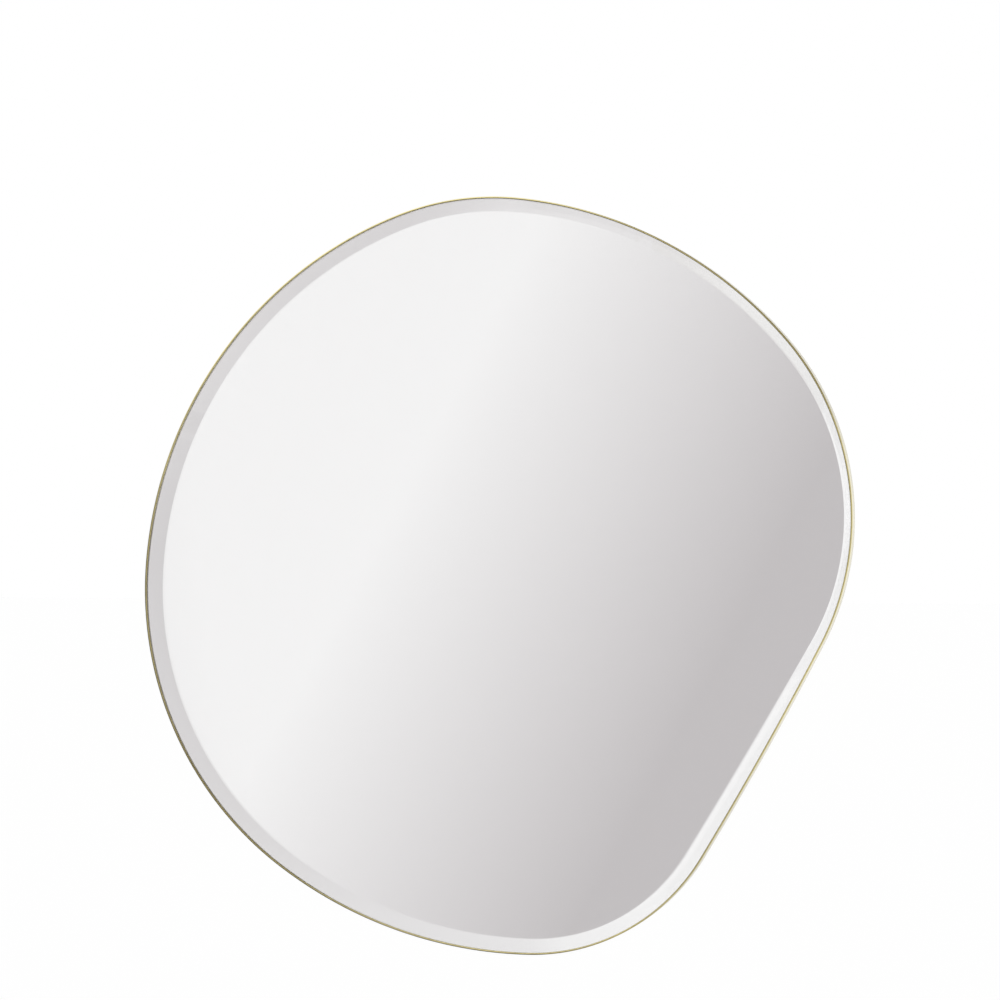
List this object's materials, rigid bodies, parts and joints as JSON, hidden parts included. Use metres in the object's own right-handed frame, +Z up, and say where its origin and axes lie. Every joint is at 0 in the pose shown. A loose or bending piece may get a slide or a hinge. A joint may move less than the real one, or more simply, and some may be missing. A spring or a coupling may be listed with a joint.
{
  "type": "irregular wall mirror",
  "caption": "Pebble-shaped bevelled wall mirror in a thin brass rim, glued to a backing board and hung on keyhole plates.",
  "frame": {"origin": "on the wall plane, midway between the round mouths of the two keyholes", "axes": "+Z up; the glass faces -Y and +Y points into the wall; +X is to the right as the mirror is looked into"},
  "size_m": [0.786, 0.02, 0.816],
  "materials": {
    "clear_glass": "polished, with a ground and polished bevel",
    "silvering": "mirror silver under grey protective paint",
    "brass": "brushed and lacquered",
    "fibreboard": "plain medium-density fibreboard",
    "foam_tape": "white foam tape",
    "plated_steel": "zinc plated",
    "felt": "dense grey felt"
  },
  "bodies": {
    "root": {"mirror_glass": "clear_glass", "silver_coating": "silvering", "backing_board": "fibreboard", "rim_band": "brass", "rim_flange": "brass", "tape_strip_1": "foam_tape", "tape_strip_2": "foam_tape", "tape_strip_3": "foam_tape", "tape_strip_4": "foam_tape", "tape_strip_5": "foam_tape", "tape_strip_6": "foam_tape", "tape_strip_7": "foam_tape", "hanger_plate_left": "plated_steel", "hanger_plate_right": "plated_steel", "hanger_screws": "plated_steel", "rim_screws": "plated_steel", "wall_pad_top_left": "felt", "wall_pad_top_right": "felt", "wall_pad_bottom_left": "felt", "wall_pad_bottom_right": "felt"}
  },
  "joints": []
}
